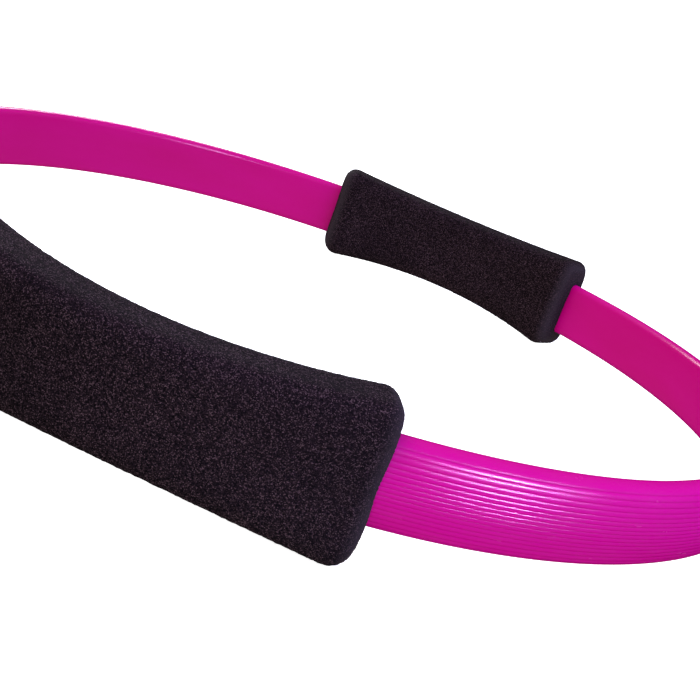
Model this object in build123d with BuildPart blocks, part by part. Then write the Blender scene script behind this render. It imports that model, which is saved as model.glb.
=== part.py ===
"""Pilates resistance ring: a sprung flat band bent into a circle, in a ribbed sleeve, with two foam grips.

The ring lies flat: Z is the ring's axis, grip A is centred on +Y, and z = 0 is the surface it rests on.
The elastic bending of the band is modelled as six hinges, so each half of the band is divided at them.
"""

from build123d import *
from math import asin, copysign, cos, degrees, radians, sin, sqrt
import os

# ---- driving dimensions, mm and degrees ----
ring_radius = 182.0         # from the ring's centre to the band's reference line (u = 0)
band_width = 27.5           # along Z
band_outer = 5.3            # crown of the outer face, outward from the reference line
band_inner = 5.4            # flat inner face, inward from the reference line
shoulder_radius = 6.5       # where the crown rolls over to the band's edge
corner_radius = 2.8         # where the edge meets the flat inner face

rib_count = 16              # raised ribs along the outer face, with a groove on each side of every rib
rib_pitch = 1.28            # at the middle of the band
rib_spread = 0.0042         # how fast the pitch widens towards the band's edges
groove_depth = 0.25
groove_width = 0.5

strip_width = 19.0          # spring strips inside the sleeve
strip_thickness = 1.8
strip_face = 1.5            # outer face of the outer strip, from the reference line
fit_gap = 0.1               # between pieces that are assembled together
slide_gap = 0.3             # round the band where it passes through the foam

grip_half_length = 74.3     # along the reference line, to the edge of the end face
grip_waist = 39.8           # height at the middle
grip_flare = 12.0           # how much taller the outline is at its ends
grip_inward = 15.2
grip_outward = 8.5
grip_height_round = 9.15    # rounding of the ends, seen from the side
grip_depth_round = 6.8      # rounding of the ends, seen from above
grip_corner = 6.5           # rounding of the long edges
grip_corner_share = 0.42    # and at most this share of the grip's depth, where the ends round over
grip_lift = 1.5             # the slot is this far below the middle of grip A's height
grip_b_offset = 5.15        # grip B sits this many degrees off the place opposite grip A
end_steps = (0.35, 0.62, 0.83, 0.95, 1.0)   # sections through a grip's rounded end, as shares of it
body_steps = (0.35, 0.7, 1.0)               # and through each half of its straight stretch

hinge_offset = 34.0         # from the load axis to the hinge beside each grip
knuckle_radius = 5.35
knuckle_gap = 0.3
splice_half = 12.0          # the sleeve halves stop this far from the load axis, in degrees
strip_butt_gap = 0.4
strip_clearance = 0.5       # between a strip's end and the socket beside it
strip_lead = 1.0            # a strip stops this far short of the hinge axis that its knuckle turns on
cut_overshoot = 1.0         # how far cuts and stock run past the faces that they make

plate_thickness = 1.0
plate_width = 16.0
plate_half = 11.0           # degrees either side of the load axis
rivet_spacing = 6.0         # degrees
rivets_per_splice = 4
shank_radius = 2.0
rivet_hole_radius = 2.1
head_radius = 3.4
head_height = 0.9
head_taper = 40             # degrees
wrap_wall = 1.0

angle_a = 90.0              # load axis at grip A
angle_b = 270.0             # load axis at grip B

# ---- worked out from them ----
side_u = corner_radius - band_inner
crown_run = band_outer - side_u
crown_side = band_width / 2 - shoulder_radius
crown_radius = (crown_run**2 + crown_side**2 - shoulder_radius**2) / (2 * (crown_run - shoulder_radius))
crown_turn = degrees(asin(crown_side / (crown_radius - shoulder_radius)))
shoulder_turn = 90 - crown_turn
crown_reach = crown_radius * radians(crown_turn)
strip_stack = 2 * strip_thickness
grip_round_start = grip_half_length - grip_height_round


def half_height(s):
    """Half the grip's height at the arc length s from its middle, before its ends are rounded."""
    return grip_waist / 2 + grip_flare / 2 * (s / grip_half_length) ** 2


def end_round(s, radius):
    """How far a quarter-round of this radius has turned in at s."""
    into = min(radius, max(0.0, abs(s) - (grip_half_length - radius)))
    return radius - sqrt(radius**2 - into**2)


# Grip B is the same foam as grip A fitted the other way up, so its widest places touch the surface.
rest_samples = 200
rest_places = [grip_round_start + grip_height_round * i / rest_samples for i in range(rest_samples)]
band_z = max(half_height(s) - end_round(s, grip_height_round) for s in rest_places) + grip_lift


def section_plane(angle):
    """The plane across the band at an angle: local x is outward, local y is up."""
    a = radians(angle)
    return Plane(origin=(0, 0, band_z), x_dir=(cos(a), sin(a), 0), z_dir=(sin(a), -cos(a), 0))


def hinge_plane(angle):
    """A level plane on the hinge axis: local x is along the band, anticlockwise."""
    a = radians(angle)
    centre = (ring_radius * cos(a), ring_radius * sin(a), band_z)
    return Plane(origin=centre, x_dir=(-sin(a), cos(a), 0), z_dir=(0, 0, 1))


def arc_degrees(length):
    """The angle that an arc length on the reference line takes up."""
    return degrees(length / ring_radius)


def face_point(along):
    """A point of the outer face, this far along it from its middle: outward, up and lean in degrees."""
    reach = abs(along)
    if reach <= crown_reach:
        lean = degrees(reach / crown_radius)
        out = band_outer - crown_radius * (1 - cos(radians(lean)))
        up = crown_radius * sin(radians(lean))
    else:
        lean = crown_turn + degrees((reach - crown_reach) / shoulder_radius)
        out = side_u + shoulder_radius * cos(radians(lean))
        up = crown_side + shoulder_radius * sin(radians(lean))
    return out, copysign(up, along), copysign(lean, along)


# ---- the band's cross-section, in local coordinates with x measured from the ring's axis ----
with BuildSketch() as band_outline:
    with BuildLine() as outline_line:
        flat = Line((ring_radius - band_inner, 0), (ring_radius - band_inner, band_width / 2 - corner_radius))
        corner = JernArc(start=flat @ 1, tangent=flat % 1, radius=corner_radius, arc_size=-90)
        roll = -shoulder_turn
        shoulder = JernArc(start=corner @ 1, tangent=corner % 1, radius=shoulder_radius, arc_size=roll)
        crown = JernArc(start=shoulder @ 1, tangent=shoulder % 1, radius=crown_radius, arc_size=-crown_turn)
        mirror(about=Plane.XZ)
    make_face()

groove_places = [k - rib_count / 2 for k in range(rib_count + 1)]
with BuildSketch() as ribbed_outline:
    add(band_outline.sketch)
    for place in groove_places:
        along = rib_pitch * place + rib_spread * place**3
        out, up, lean = face_point(along)
        with Locations(Location((ring_radius + out, up, 0), (0, 0, lean))):
            Rectangle(2 * groove_depth, groove_width, mode=Mode.SUBTRACT)

with BuildSketch() as slot_outline:
    add(band_outline.sketch)
    offset(amount=slide_gap)

with BuildSketch() as wrap_bore:
    add(band_outline.sketch)
    offset(amount=-wrap_wall)

with BuildSketch() as wrap_outline:
    add(band_outline.sketch)
    add(wrap_bore.sketch, mode=Mode.SUBTRACT)

channel_centre = ring_radius + strip_face - strip_thickness
with BuildSketch() as sleeve_outline:
    add(ribbed_outline.sketch)
    with Locations((channel_centre, 0)):
        Rectangle(strip_stack + 2 * fit_gap, strip_width + 2 * fit_gap, mode=Mode.SUBTRACT)


def swept(outline, start, end):
    """Adds the outline, carried round the ring from one angle to another, to the part being built."""
    with BuildSketch(section_plane(start)) as profile:
        add(outline.sketch)
    revolve(profile.sketch, axis=Axis.Z, revolution_arc=end - start)


def trim_knuckle(angle, outward):
    """Rounds the band's end into a knuckle about the hinge. outward is 1 if the end faces anticlockwise."""
    with BuildSketch(hinge_plane(angle)) as beyond:
        side = Align.MIN if outward > 0 else Align.MAX
        Rectangle(4 * knuckle_radius, 4 * knuckle_radius, align=(side, Align.CENTER))
        Circle(knuckle_radius, mode=Mode.SUBTRACT)
    extrude(beyond.sketch, amount=band_width, both=True, mode=Mode.SUBTRACT)


def cut_socket(angle):
    """Hollows the band's end to clear the neighbouring knuckle."""
    with BuildSketch(hinge_plane(angle)) as socket:
        Circle(knuckle_radius + knuckle_gap)
    extrude(socket.sketch, amount=band_width, both=True, mode=Mode.SUBTRACT)


def make_sleeve(name, start, end, start_form, end_form):
    """One length of sleeve. A form is knuckle, socket or square."""
    overshoot = arc_degrees(knuckle_radius + cut_overshoot)
    first = start - overshoot if start_form == "knuckle" else start
    last = end + overshoot if end_form == "knuckle" else end
    with BuildPart() as sleeve:
        swept(sleeve_outline, first, last)
        if start_form == "knuckle":
            trim_knuckle(start, -1)
        if end_form == "knuckle":
            trim_knuckle(end, 1)
        if start_form == "socket":
            cut_socket(start)
        if end_form == "socket":
            cut_socket(end)
    sleeve.part.label = name
    export_step(sleeve.part, f"parts/{name}.step")


def make_strip(name, layer, start, end, hole_angles):
    """One length of spring strip. Layer 0 is the outer strip and layer 1 the inner."""
    outer_face = ring_radius + strip_face - layer * strip_thickness
    with BuildPart() as strip:
        with BuildSketch(section_plane(start)):
            with Locations((outer_face - layer * fit_gap / 2, 0)):
                side = (Align.MAX, Align.CENTER)
                Rectangle(strip_thickness - fit_gap / 2, strip_width, align=side)
        revolve(axis=Axis.Z, revolution_arc=end - start)
        drill(hole_angles)
    strip.part.label = name
    export_step(strip.part, f"parts/{name}.step")


def drill(hole_angles):
    """Rivet holes along the ring's radius, through the part being built."""
    for angle in hole_angles:
        a = radians(angle)
        centre = (ring_radius * cos(a), ring_radius * sin(a), band_z)
        across = Plane(origin=centre, x_dir=(-sin(a), cos(a), 0), z_dir=(cos(a), sin(a), 0))
        with BuildSketch(across) as hole:
            Circle(rivet_hole_radius)
        extrude(hole.sketch, amount=2 * band_outer, both=True, mode=Mode.SUBTRACT)


def rivet_angles(load_axis):
    """The rivets of one splice, evenly spaced about its load axis."""
    first = load_axis - rivet_spacing * (rivets_per_splice - 1) / 2
    return [first + rivet_spacing * i for i in range(rivets_per_splice)]


def make_plate(name, outer_face, load_axis):
    """A curved steel plate that joins the strips' ends."""
    with BuildPart() as plate:
        with BuildSketch(section_plane(load_axis - plate_half)):
            with Locations((outer_face, 0)):
                Rectangle(plate_thickness, plate_width, align=(Align.MAX, Align.CENTER))
        revolve(axis=Axis.Z, revolution_arc=2 * plate_half)
        drill(rivet_angles(load_axis))
    plate.part.label = name
    export_step(plate.part, f"parts/{name}.step")


def make_rivets(name, load_axis):
    """The rivets of one splice, each a shank through the stack with a tapered head at both ends."""
    top = strip_face + plate_thickness + 2 * fit_gap
    bottom = strip_face - strip_stack - plate_thickness - 2 * fit_gap
    with BuildPart() as rivets:
        for angle in rivet_angles(load_axis):
            a = radians(angle)
            centre = Vector(ring_radius * cos(a), ring_radius * sin(a), band_z)
            outward = Vector(cos(a), sin(a), 0)
            with BuildSketch(Plane(origin=centre + outward * bottom, z_dir=outward)):
                Circle(shank_radius)
            extrude(amount=top - bottom)
            with BuildSketch(Plane(origin=centre + outward * top, z_dir=outward)):
                Circle(head_radius)
            extrude(amount=head_height, taper=head_taper)
            with BuildSketch(Plane(origin=centre + outward * bottom, z_dir=-outward)):
                Circle(head_radius)
            extrude(amount=head_height, taper=head_taper)
    rivets.part.label = name
    export_step(rivets.part, f"parts/{name}.step")


def make_wrap(name, load_axis):
    """A shrunk tube that covers one splice between the two sleeve halves."""
    half = splice_half - arc_degrees(slide_gap)
    with BuildPart() as wrap:
        swept(wrap_outline, load_axis - half, load_axis + half)
    wrap.part.label = name
    export_step(wrap.part, f"parts/{name}.step")


def make_grip(name, centre, lift):
    """A waisted foam grip bent to the ring's curve, with a slot for the band. lift raises its middle."""
    side_stations = [grip_round_start * k for k in body_steps]
    side_stations += [grip_round_start + grip_height_round * k for k in end_steps]
    stations = [-s for s in side_stations[::-1]] + [0.0] + side_stations
    thickness = grip_inward + grip_outward
    with BuildPart() as grip:
        for s in stations:
            deep = thickness - 2 * end_round(s, grip_depth_round)
            tall = 2 * (half_height(s) - end_round(s, grip_height_round))
            with BuildSketch(section_plane(centre + arc_degrees(s))):
                with Locations((ring_radius + (grip_outward - grip_inward) / 2, lift)):
                    RectangleRounded(deep, tall, min(grip_corner, grip_corner_share * deep))
        loft()
        reach = arc_degrees(grip_half_length + cut_overshoot)
        with BuildSketch(section_plane(centre - reach)):
            add(slot_outline.sketch)
        revolve(axis=Axis.Z, revolution_arc=2 * reach, mode=Mode.SUBTRACT)
    grip.part.label = name
    export_step(grip.part, f"parts/{name}.step")


os.makedirs("parts", exist_ok=True)

make_grip("foam_grip_a", angle_a, grip_lift)
make_grip("foam_grip_b", angle_b + grip_b_offset, -grip_lift)

for letter, load_axis in (("a", angle_a), ("b", angle_b)):
    make_wrap(f"splice_wrap_{letter}", load_axis)
    outer_plate_face = ring_radius + strip_face + fit_gap + plate_thickness
    make_plate(f"outer_splice_plate_{letter}", outer_plate_face, load_axis)
    inner_plate_face = ring_radius + strip_face - strip_stack - fit_gap
    make_plate(f"inner_splice_plate_{letter}", inner_plate_face, load_axis)
    make_rivets(f"splice_rivets_{letter}", load_axis)

# Angles grow anticlockwise. The right half of the band runs from grip B (-90) up to grip A (+90),
# and the left half from grip A on to grip B (270).
butt = arc_degrees(strip_butt_gap / 2)
setback = arc_degrees(knuckle_radius + knuckle_gap + strip_clearance)
lead = arc_degrees(strip_lead)
right_lengths = [
    ("right_b_end", -90 + splice_half, -90 + hinge_offset, "square", "knuckle"),
    ("right_b_arc", -90 + hinge_offset, 0, "socket", "knuckle"),
    ("right_a_arc", 0, 90 - hinge_offset, "socket", "socket"),
    ("right_a_end", 90 - hinge_offset, 90 - splice_half, "knuckle", "square"),
]
left_lengths = [
    ("left_a_end", 90 + splice_half, 90 + hinge_offset, "square", "knuckle"),
    ("left_a_arc", 90 + hinge_offset, 180, "socket", "socket"),
    ("left_b_arc", 180, 270 - hinge_offset, "knuckle", "socket"),
    ("left_b_end", 270 - hinge_offset, 270 - splice_half, "knuckle", "square"),
]
strip_ends = {
    "right_b_end": (-90 + butt, -90 + hinge_offset - lead),
    "right_a_end": (90 - hinge_offset + lead, 90 - butt),
    "left_a_end": (90 + butt, 90 + hinge_offset - lead),
    "left_b_end": (270 - hinge_offset + lead, 270 - splice_half - butt),
}

for name, start, end, start_form, end_form in right_lengths + left_lengths:
    make_sleeve(f"sleeve_{name}", start, end, start_form, end_form)
    if name in strip_ends:
        first, last = strip_ends[name]
    else:
        first = start + (setback if start_form == "socket" else lead)
        last = end - (setback if end_form == "socket" else lead)
    all_rivets = rivet_angles(angle_a) + rivet_angles(angle_b) + rivet_angles(angle_b - 360)
    holes = [a for a in all_rivets if first < a < last]
    for layer, side in enumerate(("outer", "inner")):
        make_strip(f"{side}_strip_{name}", layer, first, last, holes)

# The left half's strips are divided under grip B, where the loop of hinges is opened.
for layer, side in enumerate(("outer", "inner")):
    first, last = 270 - splice_half + butt, 270 - butt
    holes = [a for a in rivet_angles(angle_b) if first < a < last]
    make_strip(f"{side}_strip_left_b_tail", layer, first, last, holes)
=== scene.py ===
"""Pilates resistance ring: the looks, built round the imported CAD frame. Metres and degrees, Z up."""

import math

import bpy
import numpy as np
from mathutils import Matrix, Vector


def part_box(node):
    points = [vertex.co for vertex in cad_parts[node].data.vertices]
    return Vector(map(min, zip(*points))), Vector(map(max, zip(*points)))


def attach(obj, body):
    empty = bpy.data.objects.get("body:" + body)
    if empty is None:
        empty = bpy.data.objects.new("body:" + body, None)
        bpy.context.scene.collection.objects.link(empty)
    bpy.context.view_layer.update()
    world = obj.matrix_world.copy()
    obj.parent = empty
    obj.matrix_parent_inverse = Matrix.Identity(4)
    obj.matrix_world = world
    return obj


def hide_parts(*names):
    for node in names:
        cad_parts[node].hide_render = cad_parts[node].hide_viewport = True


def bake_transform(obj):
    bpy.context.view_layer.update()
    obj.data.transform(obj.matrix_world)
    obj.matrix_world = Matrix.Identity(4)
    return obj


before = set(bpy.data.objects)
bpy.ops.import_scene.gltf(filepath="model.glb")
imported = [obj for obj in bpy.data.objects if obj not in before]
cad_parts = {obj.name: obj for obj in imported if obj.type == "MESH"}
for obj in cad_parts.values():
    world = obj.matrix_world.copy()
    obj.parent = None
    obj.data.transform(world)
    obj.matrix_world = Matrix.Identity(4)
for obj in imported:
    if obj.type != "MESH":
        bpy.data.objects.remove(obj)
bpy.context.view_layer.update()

MM = 0.001

# ---- sizes: the CAD model's, apart from shallower ribs and foam shaped closer to the photograph ----
RING_RADIUS = 182 * MM      # to the band's reference line, which the hinges lie on
BAND_WIDTH = 27.5 * MM
BAND_OUTER = 5.3 * MM
BAND_INNER = 5.4 * MM
SHOULDER_RADIUS = 6.5 * MM
CORNER_RADIUS = 2.8 * MM

RIB_COUNT = 16
RIB_PITCH = 1.28 * MM
RIB_SPREAD = 0.0042 * MM    # how much wider the ribs get towards the edges
RIB_HEIGHT = 0.15 * MM
RIB_ROUNDNESS = 2.8         # higher is flatter on top, with steeper sides
RIB_POINTS = 10
GROOVE_SHADE_SHARPNESS = 4        # higher keeps the painted shade closer to the floors between the ribs
MARGIN_POINTS = 12
GROOVE_SIDE = 0.35 * MM     # from the last groove's floor up to the smooth margin

STRIP_WIDTH = 19 * MM
STRIP_THICKNESS = 1.75 * MM
STRIP_EASE = 0.3 * MM
STRIP_FACES = {"outer": 1.5 * MM, "inner": -0.35 * MM}    # each strip's outer face

GRIP_HALF_LENGTH = 74.3 * MM
TYPICAL_HEIGHT = 22 * MM    # half a grip's height, which sets how points are spread round it
GRIP_INWARD = 15.2 * MM
GRIP_OUTWARD = 8.5 * MM
GRIP_HALF_DEPTH = (GRIP_INWARD + GRIP_OUTWARD) / 2
GRIP_OFF = (GRIP_OUTWARD - GRIP_INWARD) / 2     # how far out its middle is from the reference line
GRIP_HEIGHT_ROUND = 9.15 * MM       # rounding of the ends, seen from outside the ring
GRIP_DEPTH_ROUND = 6.8 * MM         # and seen along the ring's axis
GRIP_DOME = 0.3 * MM        # how far an end face bulges
DOME_FADE = 6 * MM          # a narrower end face than this domes less
GRIP_SQUARENESS = 4.9       # power of the section's superellipse
GRIP_LIFT = 1.5 * MM

SLOT_GAP = 0.05 * MM
SLOT_MIDDLE = (BAND_OUTER - BAND_INNER) / 2
LIP_ROUND = 0.4 * MM        # how rounded the foam's edge is at a mouth of the slot
LIP_DEPTH = 3 * MM          # from a mouth to the first row of the slot's inside

# Each grip's angle, how far its middle is above the band's, and its upper and lower outline as seen
# from outside the ring: the height at the waist and at the ends, and how round the ends are.
GRIPS = {
    "a": (
        90.0, GRIP_LIFT,
        (19.9 * MM, 24.2 * MM, 7.0 * MM), (19.9 * MM, 25.9 * MM, GRIP_HEIGHT_ROUND),
    ),
    "b": (
        275.15, -GRIP_LIFT,
        (21.1 * MM, 25.7 * MM, 6.0 * MM), (18.2 * MM, 25.9 * MM, GRIP_HEIGHT_ROUND),
    ),
}

OUTLINE_SAMPLES = 4000      # round a superellipse, to space points evenly on it
GRIP_AROUND = 240           # points round a grip's section
WAIST_ROWS = 60             # rows of rays from a grip's middle to its rounded end
ROUND_ROWS = 60             # and over the rounding
FACE_POINTS = 40            # points down an end face
END_ROWS = 120              # rows of skin from a grip's middle to the slot's mouth
END_CROWDING = 1.6          # above 1 the rows lie closer together towards the mouth
SLOT_ROWS = 40              # rows of points along the slot's inside
WELL_OUTSIDE = 100 * MM     # further from a slot's middle than any skin
HALVINGS = 36               # of that distance, to find where a ray meets the skin

RAGGED = 0.16 * MM          # spread of the foam's edge at a mouth of the slot
CRUMBS = 7                  # loose crumbs of foam at each mouth of a slot
CRUMB_SIZES = (0.35, 0.8)   # millimetres
GRAIN = 0.07 * MM           # spread of the skin's points
GRAIN_DEEPEST = -0.18 * MM
GRAIN_HIGHEST = 0.14 * MM
WEAR_AND_SHEEN_FROM_END = 1 * MM      # where the pale band of scuffing and painted sheen round each end is palest
WEAR_AND_SHEEN_WIDTH = 5 * MM
WEAR_AND_SHEEN_SHARPNESS = 1.5

# Degrees round the ring.
HINGE = 56.0                # angle of the hinges beside the grips, from the ring's sides
SPLIT = 42.0                # angle where one swept length of band meets the next
BEND_NEAR = 14.0            # how far from a hinge the band starts to bend
BEND_TIGHT = 9.0            # the same where grip B sits closest to its hinge
SPLICE_HALF = 12.0          # from 90 and from 270 degrees to the ends of the band inside the grips

# The ring lies level, so the middle of the sleeve's box is the band's mid-plane.
sleeve_low, sleeve_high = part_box("sleeve_right_a_arc")
BAND_Z = (sleeve_low.z + sleeve_high.z) / 2


# ---- geometry helpers ----
def place(angle, outward, up):
    """A point beside the ring's reference line at an angle in degrees."""
    a = math.radians(angle)
    r = RING_RADIUS + outward
    return Vector((r * math.cos(a), r * math.sin(a), BAND_Z + up))


def new_object(name, points, faces):
    """A smooth-shaded mesh object, linked to the scene."""
    mesh = bpy.data.meshes.new(name)
    mesh.from_pydata([tuple(p) for p in points], [], faces)
    mesh.update()
    obj = bpy.data.objects.new(name, mesh)
    bpy.context.scene.collection.objects.link(obj)
    for polygon in mesh.polygons:
        polygon.use_smooth = True
    return obj


def arc(centre, radius, first, last, count):
    """Points on an arc, angles in degrees."""
    turns = np.radians(np.linspace(first, last, count))
    return [(centre[0] + radius * math.cos(t), centre[1] + radius * math.sin(t)) for t in turns]


def crown_shape():
    """The crown's radius, and the lean in radians at which it meets the shoulder."""
    side = CORNER_RADIUS - BAND_INNER
    run = BAND_OUTER - side
    flank = BAND_WIDTH / 2 - SHOULDER_RADIUS
    radius = (run**2 + flank**2 - SHOULDER_RADIUS**2) / (2 * (run - SHOULDER_RADIUS))
    return radius, math.asin(flank / (radius - SHOULDER_RADIUS))


def face_point(along, depth=0.0):
    """A point (outward, up) this far along the outer face from its middle, and this deep under it."""
    radius, turn = crown_shape()
    reach = radius * turn
    if along <= reach:
        lean = along / radius
        level = radius - depth
        return BAND_OUTER - radius + level * math.cos(lean), level * math.sin(lean)
    lean = turn + (along - reach) / SHOULDER_RADIUS
    level = SHOULDER_RADIUS - depth
    side = CORNER_RADIUS - BAND_INNER
    return side + level * math.cos(lean), BAND_WIDTH / 2 - SHOULDER_RADIUS + level * math.sin(lean)


def face_length():
    """Half the length of the outer face, from its middle to the band's edge."""
    radius, turn = crown_shape()
    return radius * turn + SHOULDER_RADIUS * (math.pi / 2 - turn)


def rib_place(ribs):
    """How far along the outer face this many ribs reach from its middle."""
    return RIB_PITCH * ribs + RIB_SPREAD * ribs**3


def outer_face():
    """The upper half of the ribbed outer face: (outward, up, painted shade) points from the middle to the
    edge.
    """
    ribs = RIB_COUNT // 2
    points = []
    for rib in range(ribs):
        for k in range(RIB_POINTS):
            across = -math.cos(math.pi * k / RIB_POINTS)
            along = rib_place(rib + 0.5 + across / 2)
            u, v = face_point(along, RIB_HEIGHT * abs(across) ** RIB_ROUNDNESS)
            # the third value is the share of painted shade, full at the floor between two ribs
            points.append((u, v, abs(across) ** GROOVE_SHADE_SHARPNESS))
    last = rib_place(ribs)
    points.append((*face_point(last, RIB_HEIGHT), 1.0))
    for along in np.linspace(last + GROOVE_SIDE, face_length(), MARGIN_POINTS):
        points.append((*face_point(along), 0.0))
    return points


def band_profile():
    """The sleeve's outline as a closed loop of (outward, up, painted shade) points, anticlockwise."""
    upper = outer_face()
    corner = (CORNER_RADIUS - BAND_INNER, BAND_WIDTH / 2 - CORNER_RADIUS)
    upper += [(u, v, 0.0) for u, v in arc(corner, CORNER_RADIUS, 90, 180, 9)[1:]]
    upper += [(-BAND_INNER, corner[1] * k, 0.0) for k in (0.66, 0.33)]
    middle = upper[0]
    lower = [(u, -v, g) for u, v, g in upper[:0:-1]]
    return [middle] + upper[1:] + [(-BAND_INNER, 0.0, 0.0)] + lower


def plain_profile():
    """The band's outline without its ribs, close enough in its points to be looked up by direction."""
    upper = [face_point(along) for along in np.linspace(0, face_length(), 60)]
    corner = (CORNER_RADIUS - BAND_INNER, BAND_WIDTH / 2 - CORNER_RADIUS)
    upper += arc(corner, CORNER_RADIUS, 90, 180, 16)[1:]
    upper += [(-BAND_INNER, corner[1] * k) for k in np.linspace(1, 0, 30)[1:-1]]
    return upper + [(-BAND_INNER, 0.0)] + [(u, -v) for u, v in upper[:0:-1]]


def strip_profile(outer):
    """A strip's section with eased corners, as (outward, up, painted shade) points. It has no painted
    shade.
    """
    inner = outer - STRIP_THICKNESS
    half = STRIP_WIDTH / 2
    ease = STRIP_EASE
    outline = [
        (outer, half - ease), (outer - ease, half), (inner + ease, half), (inner, half - ease),
        (inner, 0.0), (inner, ease - half), (inner + ease, -half), (outer - ease, -half),
        (outer, ease - half), (outer, 0.0),
    ]
    return [(u, v, 0.0) for u, v in outline]


def sweep(name, profile, first, last, step=0.75):
    """A closed solid: the profile carried round the ring from one angle to another."""
    count = len(profile)
    stations = max(2, int(abs(last - first) / step) + 1)
    angles = np.linspace(first, last, stations)
    forward = last > first
    points, spots, groove_shades = [], [], []
    for angle in angles:
        for u, v, groove_shade in profile:
            points.append(place(angle, u, v))
            spots += (RING_RADIUS * math.radians(angle), v, u)
            groove_shades.append(groove_shade)
    faces = []
    for i in range(stations - 1):
        for j in range(count):
            k = (j + 1) % count
            a, b, c, d = i * count + j, i * count + k, (i + 1) * count + k, (i + 1) * count + j
            faces.append((a, d, c, b) if forward else (a, b, c, d))
    near_cap = list(range(count))
    far_cap = [(stations - 1) * count + j for j in range(count)]
    faces.append(near_cap if forward else near_cap[::-1])
    faces.append(far_cap[::-1] if forward else far_cap)
    obj = new_object(name, points, faces)
    for cap in obj.data.polygons[-2:]:
        cap.use_smooth = False
    obj.data.attributes.new("along_band", "FLOAT_VECTOR", "POINT").data.foreach_set("vector", spots)
    # an attribute that places the painted shade between the ribs
    obj.data.attributes.new("groove_shade", "FLOAT", "POINT").data.foreach_set("value", groove_shades)
    set_sweep_normals(obj, np.array(profile)[:, :2], angles)
    return obj


def set_sweep_normals(obj, outline, angles):
    """Exact normals along the sweep, so that the joins between its lengths don't show."""
    ahead = np.roll(outline, -1, axis=0) - outline
    behind = outline - np.roll(outline, 1, axis=0)
    ahead /= np.linalg.norm(ahead, axis=1)[:, None]
    behind /= np.linalg.norm(behind, axis=1)[:, None]
    tangent = ahead + behind
    tangent /= np.linalg.norm(tangent, axis=1)[:, None]
    vertex_normals = []
    for angle in angles:
        a = math.radians(angle)
        for u, v in tangent:
            # a quarter turn from the outline's direction, so it points out of the section
            vertex_normals.append((v * math.cos(a), v * math.sin(a), -u))
    mesh = obj.data
    loops = []
    for polygon in mesh.polygons:
        for v in polygon.vertices:
            loops.append(vertex_normals[v] if polygon.use_smooth else tuple(polygon.normal))
    mesh.normals_split_custom_set(loops)


# ---- materials ----
class Shader:
    """A small helper that adds and links nodes of one material."""

    def __init__(self, name):
        self.material = bpy.data.materials.new(name)
        self.material.use_nodes = True
        self.tree = self.material.node_tree
        self.surface = self.tree.nodes["Principled BSDF"]

    def node(self, kind, **settings):
        """Adds a node. Each setting is a property of the node or, failing that, an input's value."""
        made = self.tree.nodes.new(kind)
        for key, value in settings.items():
            if hasattr(made, key):
                setattr(made, key, value)
            else:
                made.inputs[key.replace("_", " ")].default_value = value
        return made

    def link(self, source, target):
        self.tree.links.new(source, target)

    def attribute(self, name):
        return self.node("ShaderNodeAttribute", attribute_name=name)

    def object_place(self):
        return self.node("ShaderNodeTexCoord").outputs["Object"]

    def scaled(self, vector, scale):
        mapping = self.node("ShaderNodeMapping", Scale=scale)
        self.link(vector, mapping.inputs["Vector"])
        return mapping.outputs["Vector"]

    def noise(self, vector, scale, detail=2.0, roughness=0.5):
        noise = self.node("ShaderNodeTexNoise", Scale=scale, Detail=detail, Roughness=roughness)
        self.link(vector, noise.inputs["Vector"])
        return noise.outputs["Fac"]

    def ramp(self, value, stops):
        """A colour ramp. stops are (position, colour) with linear colours."""
        ramp = self.node("ShaderNodeValToRGB")
        elements = ramp.color_ramp.elements
        while len(elements) < len(stops):
            elements.new(0.5)
        for element, (position, colour) in zip(elements, stops):
            element.position = position
            element.color = (*colour, 1.0)
        self.link(value, ramp.inputs["Fac"])
        return ramp.outputs["Color"]

    def remap(self, value, low_in, high_in, low_out, high_out):
        """Maps one range of values to another and clamps it there."""
        node = self.node(
            "ShaderNodeMapRange",
            From_Min=low_in, From_Max=high_in, To_Min=low_out, To_Max=high_out,
        )
        self.link(value, node.inputs["Value"])
        return node.outputs["Result"]

    def mix(self, share, first, second, blend="MIX"):
        """Mixes two colours. Each is a socket or a linear colour, and share is a socket or a number."""
        node = self.node("ShaderNodeMix", data_type="RGBA", blend_type=blend)
        for socket, value in ((node.inputs[0], share), (node.inputs[6], first), (node.inputs[7], second)):
            if isinstance(value, bpy.types.NodeSocket):
                self.link(value, socket)
            elif isinstance(value, tuple):
                socket.default_value = (*value, 1.0)
            else:
                socket.default_value = value
        return node.outputs[2]

    def bump(self, height, strength, distance, normal=None):
        bump = self.node("ShaderNodeBump", Strength=strength, Distance=distance)
        self.link(height, bump.inputs["Height"])
        if normal is not None:
            self.link(normal, bump.inputs["Normal"])
        return bump.outputs["Normal"]

    def set(self, **values):
        """Values that are the same all over the surface, set on the shader's own sockets."""
        for key, value in values.items():
            self.surface.inputs[key.replace("_", " ")].default_value = value

    def colour(self, socket):
        self.link(socket, self.surface.inputs["Base Color"])

    def rough(self, socket):
        self.link(socket, self.surface.inputs["Roughness"])

    def normal(self, socket):
        self.link(socket, self.surface.inputs["Normal"])


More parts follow.
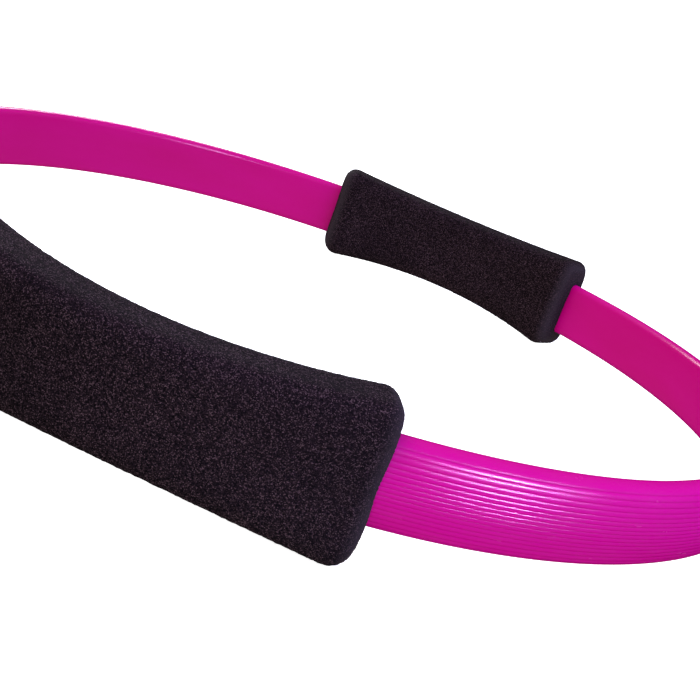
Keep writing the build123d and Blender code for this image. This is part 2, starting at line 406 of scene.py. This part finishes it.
def sleeve_material():
    """Glossy soft plastic with faint drawing lines along its length and scuffs. Painted shade darkens the
    floors between the ribs, and painted light makes the outer side a brighter, more violet pink than the
    inner side."""
    s = Shader("sleeve_plastic")
    spot = s.attribute("along_band").outputs["Vector"]
    lines = s.noise(s.scaled(spot, (60, 2600, 1)), 1.0, detail=3)
    cloud = s.noise(s.scaled(spot, (14, 60, 1)), 1.0, detail=3)
    speck = s.noise(spot, 1700, detail=2)
    # painted light: the outer pink is a brighter, more violet copy of the inner one, for the light on that
    # side
    inner = s.ramp(cloud, [(0.3, (0.525, 0.0002, 0.170)), (0.7, (0.555, 0.0004, 0.200))])
    outer = s.ramp(cloud, [(0.3, (0.600, 0.0002, 0.265)), (0.7, (0.640, 0.0004, 0.305))])
    split = s.node("ShaderNodeSeparateXYZ")
    s.link(spot, split.inputs["Vector"])
    # 0 on the inner face and 1 on the outer; it picks the painted-light pink and the roughness
    side = s.remap(split.outputs["Z"], -BAND_INNER, 0.4 * BAND_OUTER, 0.0, 1.0)
    base = s.mix(side, inner, outer)
    # painted shade: towards the floors between the ribs, the pink is mixed with a darker one
    groove_shade = s.remap(s.attribute("groove_shade").outputs["Fac"], 0.0, 1.0, 0.0, 0.6)
    s.colour(s.mix(groove_shade, base, (0.470, 0.0001, 0.180)))
    scuffs = s.noise(s.scaled(spot, (60, 420, 1)), 1.0, detail=4)
    polish = s.remap(scuffs, 0.35, 0.75, 0.21, 0.29)
    s.rough(s.mix(side, (0.27, 0.27, 0.27), polish))
    surface = s.bump(lines, 0.03, 0.00005)
    s.normal(s.bump(speck, 0.07, 0.00005, surface))
    s.set(Specular_IOR_Level=0.15)
    return s.material


def foam_material():
    """Closed-cell foam: tiny cut cells, each of its own tone, lighter round the end edges with scuffing and
    a painted sheen.
    """
    s = Shader("grip_foam")
    spot = s.object_place()
    cells = s.node("ShaderNodeTexVoronoi", Scale=3800)
    s.link(spot, cells.inputs["Vector"])
    tone = s.node("ShaderNodeSeparateColor")
    s.link(cells.outputs["Color"], tone.inputs["Color"])
    fine = s.noise(spot, 4200, detail=2, roughness=0.6)
    pits = s.noise(spot, 2000, detail=3, roughness=0.6)
    cloud = s.noise(spot, 30, detail=5, roughness=0.6)
    base = s.ramp(tone.outputs[0], [
        (0.0, (0.0004, 0.0003, 0.0003)),
        (0.40, (0.0058, 0.0033, 0.0046)),
        (0.80, (0.0200, 0.0108, 0.0145)),
        (1.0, (0.0860, 0.0520, 0.0640)),
    ])
    grain = s.ramp(fine, [(0.30, (0.60, 0.60, 0.60)), (0.70, (1.40, 1.38, 1.40))])
    base = s.mix(1.0, base, grain, "MULTIPLY")
    patches = s.ramp(cloud, [(0.32, (0.76, 0.74, 0.76)), (0.68, (1.10, 1.08, 1.10))])
    base = s.mix(1.0, base, patches, "MULTIPLY")
    # scuffing and painted sheen: round the end edges the foam is mixed toward a paler, bluish grey
    rubbed_and_sheen = s.remap(s.attribute("rubbed_and_sheen").outputs["Fac"], 0.0, 1.0, 0.0, 0.70)
    base = s.mix(rubbed_and_sheen, base, (0.042, 0.032, 0.041))
    s.colour(base)
    s.rough(s.remap(fine, 0.3, 0.7, 0.86, 0.98))
    surface = s.bump(pits, 0.3, 0.0002)
    s.normal(s.bump(tone.outputs[0], 0.35, 0.00012, surface))
    s.set(Specular_IOR_Level=0.05)
    return s.material


def finish_fibres(s, fibres):
    """Pale resin with fine fibres along the strip, for either way of placing the fibres."""
    s.colour(s.ramp(fibres, [(0.35, (0.42, 0.40, 0.22)), (0.65, (0.60, 0.58, 0.38))]))
    s.rough(s.remap(fibres, 0.3, 0.7, 0.35, 0.55))
    s.normal(s.bump(fibres, 0.2, 0.00005))
    return s.material


def glass_fibre_material():
    """Pultruded strip, on the swept lengths."""
    s = Shader("glass_fibre")
    spot = s.attribute("along_band").outputs["Vector"]
    return finish_fibres(s, s.noise(s.scaled(spot, (30, 3000, 1)), 1.0, detail=3))


def strip_end_material():
    """The same pultruded strip on the CAD nodes, which carry no place attribute."""
    s = Shader("glass_fibre_ends")
    return finish_fibres(s, s.noise(s.scaled(s.object_place(), (40, 40, 3000)), 1.0, detail=3))


def metal_material(name, colour, roughness, scale):
    """Plain metal with a brushed grain."""
    s = Shader(name)
    grain = s.noise(s.scaled(s.object_place(), scale), 1.0, detail=3)
    light = tuple(min(1.0, c * 1.1) for c in colour)
    dark = tuple(c * 0.85 for c in colour)
    s.colour(s.ramp(grain, [(0.3, dark), (0.7, light)]))
    s.rough(s.remap(grain, 0.3, 0.7, roughness * 0.8, roughness * 1.3))
    s.normal(s.bump(grain, 0.15, 0.00004))
    s.set(Metallic=1.0)
    return s.material


def wrap_material():
    """Shrunk black tube with a slight orange-peel."""
    s = Shader("shrunk_wrap")
    peel = s.noise(s.object_place(), 900, detail=2)
    s.colour(s.ramp(peel, [(0.3, (0.008, 0.008, 0.009)), (0.7, (0.018, 0.018, 0.020))]))
    s.rough(s.remap(peel, 0.3, 0.7, 0.35, 0.55))
    s.normal(s.bump(peel, 0.2, 0.0001))
    return s.material


def floor_material():
    """A pale, even studio floor of lit white acrylic."""
    s = Shader("studio_floor")
    frost = s.noise(s.object_place(), 220, detail=4)
    s.colour(s.ramp(frost, [(0.3, (0.80, 0.80, 0.80)), (0.7, (0.84, 0.84, 0.84))]))
    s.rough(s.remap(frost, 0.3, 0.7, 0.75, 0.9))
    s.normal(s.bump(frost, 0.05, 0.0001))
    s.set(Specular_IOR_Level=0.1, Emission_Strength=FLOOR_GLOW, Emission_Color=(1, 1, 1, 1))
    return s.material


# ---- foam grips ----
def edge_height(s, outline):
    """The height of a grip's upper or lower edge from its middle, at the arc length s."""
    waist, end, radius = outline
    return waist + (end - waist) * (s / GRIP_HALF_LENGTH) ** 2 - end_round(s, radius)


def end_round(s, radius):
    """How far a quarter-round of this radius at a grip's end has turned in, at the arc length s."""
    into = min(radius, max(0.0, abs(s) - (GRIP_HALF_LENGTH - radius)))
    return radius - math.sqrt(radius**2 - into**2)


def squarish(turn):
    """A point on a superellipse of half-size 1."""
    c, s = math.cos(turn), math.sin(turn)
    return (
        math.copysign(abs(c) ** (2 / GRIP_SQUARENESS), c),
        math.copysign(abs(s) ** (2 / GRIP_SQUARENESS), s),
    )


def even_loop(loop, count):
    """Points evenly spaced round a closed loop, starting at its first point."""
    closed = np.array(loop + [loop[0]])
    lengths = np.r_[0, np.cumsum(np.hypot(*np.diff(closed, axis=0).T))]
    at = np.linspace(0, lengths[-1], count, endpoint=False)
    return np.stack([np.interp(at, lengths, closed[:, k]) for k in (0, 1)], axis=1)


def ray_directions(lift):
    """Unit vectors from the slot's middle to points spaced evenly round a grip's section."""
    waist = []
    for turn in np.linspace(0, 2 * math.pi, OUTLINE_SAMPLES, endpoint=False):
        x, y = squarish(turn)
        waist.append((GRIP_OFF + GRIP_HALF_DEPTH * x, lift + TYPICAL_HEIGHT * y))
    directions = even_loop(waist, GRIP_AROUND) - (SLOT_MIDDLE, 0)
    return directions / np.linalg.norm(directions, axis=1)[:, None]


def slot_reaches(directions):
    """How far each ray from the slot's middle runs to the slot's wall."""
    outline = np.array(plain_profile()) - (SLOT_MIDDLE, 0)
    turns = np.arctan2(outline[:, 1], outline[:, 0])
    order = np.argsort(turns)
    sizes = np.hypot(*outline.T)[order] + SLOT_GAP
    wanted = np.arctan2(directions[:, 1], directions[:, 0])
    return np.interp(wanted, turns[order], sizes, period=2 * math.pi)


def skin_reaches(directions, s, lift, upper, lower):
    """How far each ray from the slot's middle runs to the skin's superellipse, found by halving."""
    deep = GRIP_HALF_DEPTH - end_round(s, GRIP_DEPTH_ROUND)
    tall, low = edge_height(s, upper), edge_height(s, lower)
    near = np.zeros(len(directions))
    far = np.full(len(directions), WELL_OUTSIDE)
    for _ in range(HALVINGS):
        middle = (near + far) / 2
        u = (SLOT_MIDDLE + middle * directions[:, 0] - GRIP_OFF) / deep
        v = middle * directions[:, 1] - lift
        v = np.where(v > 0, v / tall, v / low)
        outside = np.abs(u) ** GRIP_SQUARENESS + np.abs(v) ** GRIP_SQUARENESS > 1
        far = np.where(outside, middle, far)
        near = np.where(outside, near, middle)
    return near


def end_line(reach, lengths, slot_reach, spoil):
    """One line of the skin, from the grip's middle over its end to the slot: (length, reach) points.
    Its edge at the slot's mouth is moved along the slot by spoil."""
    rim = reach[-1]
    if rim > slot_reach:
        shares = np.linspace(0, 1, FACE_POINTS)[1:]
        dome = GRIP_DOME * min(1.0, (rim - slot_reach) / DOME_FADE)
        face_lengths = GRIP_HALF_LENGTH + dome * np.sin(shares * math.pi / 2)
        face_reaches = rim + shares * (slot_reach - rim)
        line = np.stack([np.r_[lengths, face_lengths], np.r_[reach, face_reaches]], axis=1)
    else:
        meets = int(np.argmax(reach <= slot_reach))
        share = (reach[meets - 1] - slot_reach) / (reach[meets - 1] - reach[meets])
        at = lengths[meets - 1] + share * (lengths[meets] - lengths[meets - 1])
        line = np.stack([np.r_[lengths[:meets], at], np.r_[reach[:meets], slot_reach]], axis=1)
    run = np.r_[0, np.cumsum(np.hypot(*np.diff(line, axis=0).T))]
    shares = 1 - (1 - np.linspace(0, 1, END_ROWS)) ** END_CROWDING
    at = shares * (run[-1] - LIP_ROUND)
    rows = np.stack([np.interp(at, run, line[:, k]) for k in (0, 1)], axis=1)
    tip = line[-1] + (spoil, 0)
    wall = tip - (LIP_ROUND, 0)
    lip = rows[-1] * 0.25 + tip * 0.5 + wall * 0.25
    return np.vstack([rows, lip, wall])


def spoiled_edge(rng):
    """How far the foam stands out or back at each point round a mouth, with a few loose crumbs."""
    edge = np.convolve(rng.normal(0, RAGGED, GRIP_AROUND), (0.25, 0.5, 0.25), "same")
    crumbs = rng.choice(GRIP_AROUND, CRUMBS, replace=False)
    edge[crumbs] += rng.uniform(*CRUMB_SIZES, CRUMBS) * MM
    return edge


def grip_rows(directions, lift, upper, lower, rng):
    """Closed rings of (length, reach) points along the skin and back through the slot, and how many
    of them are skin."""
    slot_reach = slot_reaches(directions)
    straight = GRIP_HALF_LENGTH - GRIP_HEIGHT_ROUND
    over_end = straight + GRIP_HEIGHT_ROUND * np.sin(np.linspace(0, math.pi / 2, ROUND_ROWS))
    lengths = np.r_[np.linspace(0, straight, WAIST_ROWS)[:-1], over_end]
    reach = np.stack([skin_reaches(directions, s, lift, upper, lower) for s in lengths])
    halves = []
    for side in (1, -1):
        spoil = spoiled_edge(rng)
        lines = [end_line(reach[:, j], lengths, slot_reach[j], spoil[j]) for j in range(GRIP_AROUND)]
        half = np.stack(lines, axis=1)
        half[:, :, 0] *= side
        halves.append(half)
    skin = list(halves[1][:0:-1]) + list(halves[0])
    inmost = GRIP_HALF_LENGTH - LIP_DEPTH
    slot = []
    for s in np.linspace(inmost, -inmost, SLOT_ROWS):
        slot.append(np.stack([np.full(GRIP_AROUND, s), slot_reach], axis=1))
    return skin + slot, len(skin)


def wear_and_sheen(s):
    """How scuffed the foam is at the arc length s, and how strong its painted sheen is there, from 0 to 1.
    """
    away = abs(GRIP_HALF_LENGTH - WEAR_AND_SHEEN_FROM_END - abs(s))
    return (1 - min(1.0, away / WEAR_AND_SHEEN_WIDTH)) ** WEAR_AND_SHEEN_SHARPNESS


def make_grip(name, centre, lift, upper, lower, seed):
    """One foam grip: skin, rounded ends and the slot between them, as one closed mesh."""
    rng = np.random.default_rng(seed)
    directions = ray_directions(lift)
    rows, skin_rows = grip_rows(directions, lift, upper, lower, rng)
    points, worn_and_sheen = [], []
    for row in rows:
        for (s, distance), (x, y) in zip(row, directions):
            angle = centre + math.degrees(s / RING_RADIUS)
            points.append(place(angle, SLOT_MIDDLE + distance * x, distance * y))
            worn_and_sheen.append(wear_and_sheen(s))
    faces = []
    for i in range(len(rows)):
        this = i * GRIP_AROUND
        following = (i + 1) % len(rows) * GRIP_AROUND
        for j in range(GRIP_AROUND):
            k = (j + 1) % GRIP_AROUND
            faces.append((this + j, following + j, following + k, this + k))
    obj = new_object(name, points, faces)
    if signed_volume(obj) < 0:
        obj.data.flip_normals()
    # the share of scuffing and painted sheen at each point
    obj.data.attributes.new("rubbed_and_sheen", "FLOAT", "POINT").data.foreach_set("value", worn_and_sheen)
    roughen(obj, skin_rows * GRIP_AROUND, rng)
    return obj


def signed_volume(obj):
    """Six times the volume of a closed mesh, negative when its faces look inwards."""
    mesh = obj.data
    mesh.calc_loop_triangles()
    total = 0.0
    for t in mesh.loop_triangles:
        a, b, c = (mesh.vertices[i].co for i in t.vertices)
        total += a.dot(b.cross(c))
    return total


def roughen(obj, count, rng):
    """Moves the first points, which are the skin's, a hair in or out, so that the outline is grainy."""
    mesh = obj.data
    places = np.array([v.co for v in mesh.vertices])
    normals = np.array([v.normal for v in mesh.vertices])
    shift = rng.normal(0, GRAIN, len(places)).clip(GRAIN_DEEPEST, GRAIN_HIGHEST)
    shift[count:] = 0
    places += normals * shift[:, None]
    mesh.vertices.foreach_set("co", places.ravel())
    mesh.update()


# ---- pieces ----
sleeve_look = sleeve_material()
foam_look = foam_material()
fibre_look = glass_fibre_material()
fibre_end_look = strip_end_material()
steel_look = metal_material("plated_steel", (0.55, 0.56, 0.58), 0.32, (200, 200, 3000))
rivet_look = metal_material("rivet_aluminium", (0.75, 0.76, 0.78), 0.28, (1500, 1500, 1500))
wrap_look = wrap_material()

for letter, (angle, rise, upper, lower) in GRIPS.items():
    grip = make_grip(f"grip_{letter}_foam", angle, rise, upper, lower, seed=ord(letter))
    grip.data.materials.append(foam_look)
    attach(grip, f"grip_{letter}")
    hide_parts(f"foam_grip_{letter}")


# Each length of band lies over one hinge: its name, the bodies it joins, the angles of its two ends,
# the angles between which it bends, and the halves of the CAD node names that it stands for.
BENDS = [
    ("right_a", ("grip_a", "right_a_arc"), (90 - SPLICE_HALF, SPLIT),
     (HINGE + BEND_NEAR, SPLIT), ("right_a_end", "right_a_arc")),
    ("right_side", ("right_a_arc", "right_b_arc"), (SPLIT, -SPLIT),
     (SPLIT, -SPLIT), ("right_a_arc", "right_b_arc")),
    ("right_b", ("right_b_arc", "grip_b"), (-SPLIT, SPLICE_HALF - 90),
     (BEND_TIGHT - HINGE, -BEND_TIGHT - HINGE), ("right_b_arc", "right_b_end")),
    ("left_a", ("grip_a", "left_a_arc"), (90 + SPLICE_HALF, 180 - SPLIT),
     (180 - HINGE - BEND_NEAR, 180 - SPLIT), ("left_a_end", "left_a_arc")),
    ("left_side", ("left_a_arc", "left_b_arc"), (180 - SPLIT, 180 + SPLIT),
     (180 - SPLIT, 180 + SPLIT), ("left_a_arc", "left_b_arc")),
    ("left_b", ("left_b_arc", "left_b_end"), (180 + SPLIT, 270 - SPLICE_HALF),
     (180 + SPLIT, 180 + HINGE + BEND_NEAR), ("left_b_arc", "left_b_end")),
]
for name, bodies, (first, last), (bend_first, bend_last), lengths in BENDS:
    made = [(sweep(f"band_{name}", band_profile(), first, last), sleeve_look, "sleeve", "sleeve")]
    for side, face in STRIP_FACES.items():
        strip = sweep(f"{side}_spring_{name}", strip_profile(face), first, last)
        made.append((strip, fibre_look, "strip", f"{side}_strip"))
    for piece, look, slot, node in made:
        piece.data.materials.append(look)
        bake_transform(piece)
        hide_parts(*[f"{node}_{length}" for length in lengths])

# The CAD nodes that no visual piece replaces keep their shape and get a look by the word in their name.
INNER_LOOKS = {
    "splice_plate": steel_look,
    "rivets": rivet_look,
    "wrap": wrap_look,
    "strip": fibre_end_look,
}
for name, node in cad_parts.items():
    for word, look in INNER_LOOKS.items():
        if word in name and not node.hide_render:
            node.data.materials.clear()
            node.data.materials.append(look)
            break


# ---- studio ----
FLOOR_FLAT = 1.6            # radius of the flat floor
BACKDROP_RISE = 1.4         # radius of the curve beyond it
BACKDROP_STEPS = 24
FLOOR_AROUND = 96
FLOOR_GLOW = 0.93           # the acrylic is lit from behind, which takes the shadows away

WHITE = (1, 1, 1)
VIOLET = (0.55, 0.46, 1.0)
LILAC = (0.14, 0.12, 1.0)
SKY_BELOW, SKY_ABOVE = 0.80, 1.1        # the world's strength straight down and straight up
RING_MIDDLE = (0, 0, 0)
NEAR_RIBS = (0.130, -0.134, 0.03)       # the ribs beside grip B, where the photograph has a streak

LENS, SENSOR = 57.45, 36    # millimetres
AZIMUTH, ELEVATION, ROLL = (math.radians(x) for x in (17.2, 16.66, 20.15))
EYE = Vector((0.1491, -0.4258, BAND_Z + 0.1128))


def make_floor():
    """A round floor that curves up into a backdrop well outside the object."""
    outline = [(0.0, 0.0), (FLOOR_FLAT * 0.5, 0.0), (FLOOR_FLAT, 0.0)]
    for k in range(1, BACKDROP_STEPS + 1):
        turn = math.radians(90 * k / BACKDROP_STEPS)
        radius = FLOOR_FLAT + BACKDROP_RISE * math.sin(turn)
        outline.append((radius, BACKDROP_RISE * (1 - math.cos(turn))))
    points, faces = [], []
    for r, z in outline:
        for j in range(FLOOR_AROUND):
            t = 2 * math.pi * j / FLOOR_AROUND
            points.append((r * math.cos(t), r * math.sin(t), z))
    for i in range(len(outline) - 1):
        inner, outer = i * FLOOR_AROUND, (i + 1) * FLOOR_AROUND
        for j in range(FLOOR_AROUND):
            k = (j + 1) % FLOOR_AROUND
            faces.append((inner + j, outer + j, outer + k, inner + k))
    floor = new_object("floor", points, faces)
    floor.data.materials.append(floor_material())
    floor.visible_glossy = False
    floor.visible_diffuse = False


def area_light(name, at, target, size, watts, colour, reaches, spread=180):
    """A soft light that reaches either diffuse or glossy surfaces, so that sheen and fill are set apart."""
    light = bpy.data.lights.new(name, "AREA")
    light.shape = "RECTANGLE"
    light.size, light.size_y = size
    light.energy = watts
    light.color = colour
    light.spread = math.radians(spread)
    obj = bpy.data.objects.new(name, light)
    bpy.context.scene.collection.objects.link(obj)
    obj.location = at
    obj.visible_diffuse = reaches == "diffuse"
    obj.visible_glossy = reaches == "glossy"
    obj.rotation_mode = "QUATERNION"
    obj.rotation_quaternion = (Vector(target) - Vector(at)).to_track_quat("-Z", "Y")


def make_sky():
    """White light from all round, a little stronger from above. Glossy surfaces don't reflect it."""
    world = bpy.data.worlds.new("studio")
    bpy.context.scene.world = world
    world.use_nodes = True
    nodes, links = world.node_tree.nodes, world.node_tree.links
    direction = nodes.new("ShaderNodeTexCoord")
    axes = nodes.new("ShaderNodeSeparateXYZ")
    strength = nodes.new("ShaderNodeMapRange")
    strength.inputs["From Min"].default_value = -1
    strength.inputs["To Min"].default_value = SKY_BELOW
    strength.inputs["To Max"].default_value = SKY_ABOVE
    links.new(direction.outputs["Generated"], axes.inputs["Vector"])
    links.new(axes.outputs["Z"], strength.inputs["Value"])
    links.new(strength.outputs["Result"], nodes["Background"].inputs["Strength"])
    nodes["Background"].inputs["Color"].default_value = (*WHITE, 1)
    world.cycles_visibility.glossy = False


def make_camera():
    """A camera low over grip B, rolled so that the ring's plane leans down to the right."""
    camera = bpy.data.objects.new("camera", bpy.data.cameras.new("camera"))
    bpy.context.scene.collection.objects.link(camera)
    bpy.context.scene.camera = camera
    camera.data.sensor_width = SENSOR
    camera.data.lens = LENS
    camera.data.clip_start = 0.01
    back = Vector((
        math.sin(AZIMUTH) * math.cos(ELEVATION),
        -math.cos(AZIMUTH) * math.cos(ELEVATION),
        math.sin(ELEVATION),
    ))
    level = Vector((math.cos(AZIMUTH), math.sin(AZIMUTH), 0))
    above = back.cross(level)
    right = level * math.cos(ROLL) + above * math.sin(ROLL)
    up = above * math.cos(ROLL) - level * math.sin(ROLL)
    camera.matrix_world = Matrix((
        (right.x, up.x, back.x, EYE.x),
        (right.y, up.y, back.y, EYE.y),
        (right.z, up.z, back.z, EYE.z),
        (0, 0, 0, 1),
    ))


make_floor()
area_light(
    "key", at=(-0.5, -0.6, 1.3), target=RING_MIDDLE, size=(1.0, 0.8),
    watts=5.5, colour=WHITE, reaches="diffuse",
)
area_light(
    "streak", at=(0.95, -0.37, 0.56), target=NEAR_RIBS, size=(0.44, 0.26),
    watts=2.1, colour=VIOLET, reaches="glossy", spread=24,
)
area_light(
    "rim", at=(-0.9, 0.9, 0.7), target=RING_MIDDLE, size=(0.8, 0.25),
    watts=12, colour=WHITE, reaches="glossy",
)
area_light(
    "lilac", at=(0.8, -0.3, 1.1), target=(0.1, -0.1, 0), size=(0.6, 0.6),
    watts=8, colour=LILAC, reaches="diffuse",
)
make_sky()
make_camera()
bpy.context.scene.view_settings.view_transform = "Standard"
